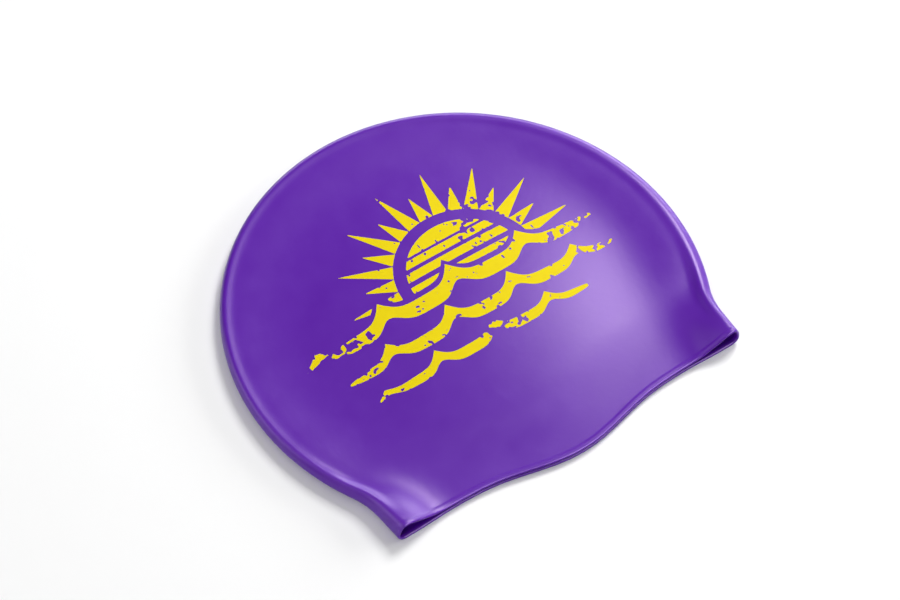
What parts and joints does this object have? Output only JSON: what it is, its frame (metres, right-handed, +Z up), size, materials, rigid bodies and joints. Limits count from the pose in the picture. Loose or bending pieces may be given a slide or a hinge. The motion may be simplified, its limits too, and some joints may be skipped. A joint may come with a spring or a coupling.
{
  "type": "silicone swim cap",
  "caption": "One-piece moulded silicone swim cap lying flat, with a rolled fold round its outline, a straight collar and an open mouth with a rim bead and an ear-cover bulge.",
  "frame": {"origin": "on the resting surface, under the middle of the cap's box", "axes": "+X along the mouth, +Y from the mouth to the crown, +Z up"},
  "size_m": [0.2228, 0.2056, 0.0109],
  "materials": {
    "silicone": "satin"
  },
  "bodies": {
    "root": {"cap_shell": "silicone"}
  },
  "joints": []
}
